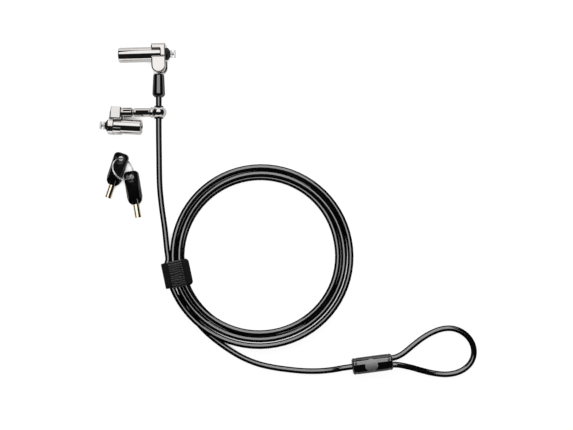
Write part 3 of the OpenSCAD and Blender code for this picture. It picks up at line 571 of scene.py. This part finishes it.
# %% Section of the band: flat, with soft edges
def mesh_object(name, shape):
    data = bpy.data.meshes.new(name)
    shape.to_mesh(data)
    shape.free()
    return add_object(name, data)


def band_section(half, t):
    edge, shoulder, drop = 0.8 * t, 0.32 * t, 0.75 * t
    top = [(-half, 0), (-half + shoulder, drop), (-half + edge, t)]
    top += [(half * k, t) for k in (-0.5, 0, 0.5)]
    top += [(half - edge, t), (half - shoulder, drop), (half, 0)]
    return top + [(half - shoulder, -drop), (half - edge, -t), (-half + edge, -t),
                  (-half + shoulder, -drop)]


# %% Sweep the band along its line
def band(name, line, width, end_round=0.0, plain_from=1.0):
    half = width / 2
    section = band_section(half, BAND_T / 2)
    shape = bmesh.new()
    uv = shape.loops.layers.uv.new("along")
    rings, run, whole = [], 0.0, length_of(line)
    for i, point in enumerate(line):
        ahead = (line[min(i + 1, len(line) - 1)] - line[max(i - 1, 0)]).normalized()
        out = strap_y.cross(ahead).normalized()
        run += (point - line[i - 1]).length if i else 0
        short = max(0.0, end_round - (whole - run))
        narrow = 1 - (end_round - math.sqrt(end_round**2 - short**2)) / half
        ring = [shape.verts.new(point + strap_y * a * narrow + out * b) for a, b in section]
        rings.append((run, ring))
    for (run_a, ring_a), (run_b, ring_b) in zip(rings, rings[1:]):
        for k in range(len(section)):
            n = (k + 1) % len(section)
            face = shape.faces.new((ring_a[k], ring_a[n], ring_b[n], ring_b[k]))
            face.smooth = True
            face.material_index = int(run_a > plain_from)
            measured = ((run_a, section[k][0]), (run_a, section[n][0]),
                        (run_b, section[n][0]), (run_b, section[k][0]))
            for loop, place in zip(face.loops, measured):
                loop[uv].uv = place
    shape.faces.new(rings[0][1])
    shape.faces.new(list(reversed(rings[-1][1])))
    bmesh.ops.recalc_face_normals(shape, faces=shape.faces)
    return mesh_object(name, shape)


FLAP_W = STRAP_W + 0.7 * mm
FLAP_ROUND, PILE_LONG = 2.4 * mm, 9.9 * mm      # past the pile, the flap's tip is plain webbing
strap = band("strap_webbing", wrap_line, STRAP_W)
strap_flap = band("strap_flap", flap_line, FLAP_W, end_round=FLAP_ROUND, plain_from=PILE_LONG)
for piece in (strap, strap_flap):
    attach(piece, "cable")
    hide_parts("strap")
print("flap faces:", len(strap_flap.data.polygons))

# %% [markdown]
# ## Stitches
# Two rows of thread hold the flap on the wrap. A bump in the material could hint at them, but they stand
# proud and throw small shadows, so each stitch is a small six-sided pillow of its own.

# %% Sew the flap on
SEAM_ROWS, STITCHES, STITCH_STEP = (5.0, 6.8), 10, 1.8
STITCH_LONG, STITCH_WIDE, STITCH_HIGH = 1.2 * mm, 0.6 * mm, 0.12 * mm
SEAM_RISE, TOP_SHARE = 1.96 * mm, 0.7
pillow = ((-1, 0), (-0.6, -1), (0.6, -1), (1, 0), (0.6, 1), (-0.6, 1))


def stitch_rows(name, places):
    shape = bmesh.new()
    rise = Vector((0, 0, STITCH_HIGH))
    for middle in places:
        rim = [strap_y * x * STITCH_LONG / 2 + strap_x * y * STITCH_WIDE / 2 for x, y in pillow]
        low_ring = [shape.verts.new(middle + point - rise) for point in rim]
        top_ring = [shape.verts.new(middle + point * TOP_SHARE + rise) for point in rim]
        for k in range(len(rim)):
            n = (k + 1) % len(rim)
            shape.faces.new((low_ring[k], low_ring[n], top_ring[n], top_ring[k]))
        shape.faces.new(top_ring)
        shape.faces.new(list(reversed(low_ring)))
    return mesh_object(name, shape)


strap_top = strap_middle + Vector((0, 0, half_h + SEAM_RISE))
seam = [strap_top + strap_x * x * mm + strap_y * (k - (STITCHES - 1) / 2) * STITCH_STEP * mm
        for x in SEAM_ROWS for k in range(STITCHES)]
stitches = stitch_rows("strap_stitches", seam)
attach(stitches, "cable")
print("stitches:", len(seam))

# %% [markdown]
# ## Webbing, pile and thread
# The wrap is plain woven webbing, the flap is a pile of soft loops, and the thread is a fine twist. Each
# yarn could be modelled, but at this size they read as wavy ridges with fuzz on them. One node group
# makes all three, and its ridges follow the band's own measure, its UV map, so that they turn with it.

# %% Woven pile: wavy ridges of looped yarn with fuzz on them
pile, pile_in, pile_out = new_group(
    "Woven Pile",
    [("Ridges", "NodeSocketFloat", 200.0), ("Waviness", "NodeSocketFloat", 4.0),
     ("Dark", "NodeSocketColor", (0.01, 0.01, 0.01, 1)),
     ("Pale", "NodeSocketColor", (0.05, 0.05, 0.05, 1)),
     ("Depth", "NodeSocketFloat", 0.6)],
    [("Color", "NodeSocketColor"), ("Normal", "NodeSocketVector")])
coords = node(pile, "ShaderNodeTexCoord")
ridges = node(pile, "ShaderNodeTexWave", Detail=2.0, wave_type="BANDS", bands_direction="Y")
fill(ridges, {"Detail Scale": 1.2})
fuzz = node(pile, "ShaderNodeTexNoise", Scale=1400.0, Detail=4.0)
mix = node(pile, "ShaderNodeMath", operation="MULTIPLY")
tint = node(pile, "ShaderNodeMix", data_type="RGBA")
bump = node(pile, "ShaderNodeBump", Distance=0.0003)
wire_up(pile,
        (coords.outputs["UV"], ridges.inputs["Vector"]),
        (coords.outputs["Object"], fuzz.inputs["Vector"]),
        (pile_in.outputs["Ridges"], ridges.inputs["Scale"]),
        (pile_in.outputs["Waviness"], ridges.inputs["Distortion"]),
        (ridges.outputs["Fac"], mix.inputs[0]), (fuzz.outputs[0], mix.inputs[1]),
        (mix.outputs[0], tint.inputs["Factor"]),
        (pile_in.outputs["Dark"], tint.inputs["A"]), (pile_in.outputs["Pale"], tint.inputs["B"]),
        (mix.outputs[0], bump.inputs["Height"]), (pile_in.outputs["Depth"], bump.inputs["Strength"]),
        (tint.outputs["Result"], pile_out.inputs["Color"]),
        (bump.outputs["Normal"], pile_out.inputs["Normal"]))
print("group:", pile.name)


# %% Webbing, pile and thread
def woven(name, dark, pale, ridges, waviness, depth, roughness, sheen):
    made, tree, shader = start_material(name)
    fill(shader, {"Roughness": roughness, "Sheen Weight": sheen, "Sheen Roughness": 0.5,
                  "Specular IOR Level": 0.2})
    effect = node(tree, "ShaderNodeGroup", node_tree=pile, Ridges=ridges, Waviness=waviness,
                  Dark=(dark, dark, dark, 1), Pale=(pale, pale, pale, 1), Depth=depth)
    tree.links.new(effect.outputs["Color"], shader.inputs["Base Color"])
    tree.links.new(effect.outputs["Normal"], shader.inputs["Normal"])
    return made


black_webbing = woven("black_webbing", 0.012, 0.07, ridges=420.0, waviness=1.0, depth=0.3,
                      roughness=0.8, sheen=0.15)
looped_pile = woven("looped_pile", 0.008, 0.42, ridges=190.0, waviness=5.0, depth=0.8,
                    roughness=0.9, sheen=0.1)
strap_thread = woven("strap_thread", 0.003, 0.01, ridges=900.0, waviness=1.0, depth=0.2,
                     roughness=0.7, sheen=0.05)
strap.data.materials.append(black_webbing)
strap_flap.data.materials.append(looped_pile)
strap_flap.data.materials.append(black_webbing)
stitches.data.materials.append(strap_thread)
print("strap materials:", [material.name for material in (black_webbing, looped_pile, strap_thread)])

# %% [markdown]
# ## The cover of the loop's joint
# The cover is moulded in one piece, a barrel with a round lip at each end. A cylinder with two rings
# pushed on would show a join. A lathe makes it from half of its outline instead, so the lips cost
# nothing more than a few points. The cables pass into its flat ends.

# %% Turn the cover
COVER_R, COVER_SIDES = 6.0 * mm, 64
half_outline = [(0, 0), (0, 4.2), (0.15, 4.9), (0.5, 5.5), (1.1, 5.9), (1.8, 6.0), (2.3, 5.9), (2.6, 5.68),
                (2.9, 5.68), (3.3, 5.9), (3.7, 5.97), (9.0, 6.0)]
outline = [(x - COVER_HALF / mm, r) for x, r in half_outline]
outline += [(-x, r) for x, r in reversed(outline)]


def close_rings(shape, rings):
    for before, after in zip(rings, rings[1:]):
        sides = max(len(before), len(after))
        for k in range(sides):
            n = (k + 1) % sides
            corners = [before[0]] if len(before) == 1 else [before[n], before[k]]
            corners += [after[0]] if len(after) == 1 else [after[k], after[n]]
            shape.faces.new(corners).smooth = True


shape = bmesh.new()
rings = []
for x, r in outline:
    turns = [2 * math.pi * k / COVER_SIDES for k in range(COVER_SIDES if r else 1)]
    rings.append([shape.verts.new(COVER + cover_dir * x * mm + cover_side * r * mm * math.cos(turn)
                                  + Vector((0, 0, r * mm * math.sin(turn)))) for turn in turns])
close_rings(shape, rings)
bmesh.ops.recalc_face_normals(shape, faces=shape.faces)
cover = mesh_object("moulded_joint_cover", shape)
cover.data.materials.append(shell)
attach(cover, "cable")
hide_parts("loop_cover")
print("cover faces:", len(cover.data.polygons))

# %% [markdown]
# ## A bare disc on the cover
# The cover of the end loop has a round pale inlay on top, left bare. A flat disc would cut into the
# barrel or stand off it, so this one is made of rings of points laid on that cylinder, and its rim dips
# just below the surface.

# %% Lay the disc on the cover
DISC_R, DISC_SIDES, DISC_SHIFT = 4.7 * mm, 48, 1.0 * mm
disc_rings = ((0.0, 0.05), (0.25, 0.05), (0.5, 0.05), (0.75, 0.05), (0.94, 0.05), (1.0, -0.02))
disc_middle = COVER - cover_dir * DISC_SHIFT
shape = bmesh.new()
rings = []
for level, lift in disc_rings:
    ring = []
    for k in range(DISC_SIDES if level else 1):
        turn = 2 * math.pi * k / DISC_SIDES
        x, y = DISC_R * level * math.cos(turn), DISC_R * level * math.sin(turn)
        height = math.sqrt((COVER_R + lift * mm) ** 2 - y * y)
        ring.append(shape.verts.new(disc_middle + cover_dir * x + cover_side * y + Vector((0, 0, height))))
    rings.append(ring)
close_rings(shape, rings)
disc = mesh_object("cover_disc", shape)
disc.data.materials.append(moulded("disc_enamel", 0.74, 0.82, clean=0.25, dull=0.35, size=900.0, depth=0.05))
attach(disc, "cable")
print("disc faces:", len(disc.data.polygons))

# %% [markdown]
# ## Where the cables leave their holders
# A cable is bought by length and bends no tighter than it can. Here the point where each cable leaves
# its holder is printed.

print("the cables leave at:", [[round(v, 4) for v in end] for end in (main_line[0], leg(1, COVER_HALF))])

# %% [markdown]
# ## Table
# The table is white and wide. A white floor could be lit until it clips, but then the light would drown
# the object. Here the table glows for the camera, and more faintly in reflections, and lights nothing
# else. Its own colour is darker for the camera, so that lamps and glow together come to white. An
# Ambient Occlusion node measures how open each spot is, and the glow dies in the narrow gaps under the
# coil and beside the locks. That darkening is painted shade, and the lamps' own contact shadows stay.

# %% White table
TABLE_DROP = 0.0001                     # a hair below the object, so that no two faces coincide
OPEN_GLOW, REFLECTED_GLOW = 0.96, 0.55
GAP = 0.01                              # how far the table looks round itself for shade
shape = bmesh.new()
bmesh.ops.create_grid(shape, x_segments=1, y_segments=1, size=4.0)
table = mesh_object("table", shape)
table.location = (0.09, -0.11, -TABLE_DROP)
paper, tree, shader = start_material("white_table")
fill(shader, {"Roughness": 0.9, "Specular IOR Level": 0.0, "Emission Color": (1, 1, 1, 1)})
light_path = node(tree, "ShaderNodeLightPath")
pale = node(tree, "ShaderNodeMix", data_type="RGBA", A=(0.8, 0.8, 0.8, 1), B=(0.35, 0.35, 0.35, 1))
# painted shade: the AO node dims the table's glow in narrow gaps, where shade would fall
painted_shade_ao = node(tree, "ShaderNodeAmbientOcclusion", Distance=GAP)
glow_with_painted_shade = remap(tree, 0.12, 0.42, 0.0, OPEN_GLOW)
glow = node(tree, "ShaderNodeMath", operation="MULTIPLY")
mirror = node(tree, "ShaderNodeMath", operation="MULTIPLY_ADD")
mirror.inputs[1].default_value = REFLECTED_GLOW
wire_up(tree,
        (light_path.outputs["Is Camera Ray"], pale.inputs["Factor"]),
        (pale.outputs["Result"], shader.inputs["Base Color"]),
        (light_path.outputs["Is Camera Ray"], glow.inputs[0]),
        (painted_shade_ao.outputs["AO"], glow_with_painted_shade.inputs["Value"]),
        (glow_with_painted_shade.outputs["Result"], glow.inputs[1]),
        (light_path.outputs["Is Glossy Ray"], mirror.inputs[0]),
        (glow.outputs[0], mirror.inputs[2]),
        (mirror.outputs[0], shader.inputs["Emission Strength"]))
table.data.materials.append(paper)
print("materials:", len(bpy.data.materials))

# %% [markdown]
# ## Light
# Chrome and glossy black show only what they reflect. One big soft box would do for a matt object, but
# here it would wash the black cable grey on every side. So there are eight boxes, and each is placed
# where one family of pieces needs a pale line: a long one overhead and behind for the far side of every
# strand and barrel, a narrow one straight above for the flat tops of the yokes, and cards in front, at
# the side and behind for the rest. Light linking keeps a box off the pieces that it isn't meant for.


# %% Soft boxes
def soft_box(name, place, target, width, height, strength):
    data = bpy.data.lights.new(name, "AREA")
    data.shape = "RECTANGLE"
    data.size, data.size_y = width, height
    data.energy = strength * width * height * math.pi
    lamp = add_object(name, data)
    lamp.location = place
    lamp.rotation_mode = "QUATERNION"
    lamp.rotation_quaternion = (Vector(target) - Vector(place)).to_track_quat("-Z", "Y")
    lamp.visible_camera = False
    return lamp


# each box: where it hangs, where it points, its width and height, and its strength
boxes = {
    "overhead_box": ((0.055, 0.715, 0.85), (0.055, 0.715, 0), 0.93, 1.17, 1.35),
    "flat_light": ((0.055, 0.045, 0.85), (0.055, 0.045, 0), 0.93, 0.17, 1.2),
    "rear_wall": ((0.105, 3.3, 0.85), (0.105, 0, 0.85), 5.0, 1.5, 1.2),
    "rear_strip": ((0.105, 3.3, 1.4), (0.105, 0, 1.4), 5.0, 1.0, 1.8),
    "front_card": ((0.105, -3.2, 0.6), (0.105, 0, 0.6), 5.0, 1.2, 1.3),
    "strand_light": ((0.055, -0.06, 0.85), (0.055, -0.06, 0), 0.8, 0.38, 1.5),
    "side_card": ((1.6, -0.1, 0.5), (0, -0.1, 0.3), 1.5, 0.9, 4.0),
    "key_light": ((-0.62, -0.06, 0.85), (-0.62, -0.06, 0), 0.5, 0.6, 1.4)}
lamps = {name: soft_box(name, *values) for name, values in boxes.items()}
print("soft boxes:", len(lamps))


# %% Link each box to its pieces
def link_light(name, state, pieces):
    group = bpy.data.collections.new(name + "_pieces")
    for piece in pieces:
        group.objects.link(piece)
    for item in group.collection_objects:
        item.light_linking.link_state = state
    lamps[name].light_linking.receiver_collection = group


key_tubes = [frame["nodes"][name] for name in ("key_a_tube", "key_b_tube")]
hinge_pins = [frame["nodes"][name] for name in HINGE_PINS]
black = [main_cable, loop_cable, cover, frame["nodes"]["main_sleeve"]]
flat_tops = [piece for piece in bright if "barrel" not in piece.name]
link_light("rear_wall", "EXCLUDE", black)
link_light("rear_strip", "INCLUDE", black)
link_light("front_card", "INCLUDE", [*bright, *key_tubes, split_ring])
link_light("flat_light", "INCLUDE", flat_tops + hinge_pins)
link_light("strand_light", "INCLUDE", [main_cable, loop_cable, *key_tubes, split_ring])
link_light("side_card", "INCLUDE", bows)
link_light("key_light", "INCLUDE", [*key_tubes, split_ring])

# %% [markdown]
# ## World
# Past the table's edge the camera sees white too. A white world would also light the object from all
# sides and fill every dark reflection, so the white is for camera rays alone, and the rest of the room is
# nearly black.

# %% World
world = bpy.data.worlds.new("studio")
bpy.context.scene.world = world
world.use_nodes = True
tree = world.node_tree
room = tree.nodes["Background"]
room.inputs["Color"].default_value = (0.012, 0.012, 0.013, 1)
white = node(tree, "ShaderNodeBackground", Color=(1, 1, 1, 1))
choose = node(tree, "ShaderNodeMixShader")
light_path = node(tree, "ShaderNodeLightPath")
wire_up(tree,
        (light_path.outputs["Is Camera Ray"], choose.inputs[0]),
        (room.outputs[0], choose.inputs[1]), (white.outputs[0], choose.inputs[2]),
        (choose.outputs[0], tree.nodes["World Output"].inputs["Surface"]))
bpy.context.scene.view_settings.view_transform = "Standard"
print("world:", world.name)
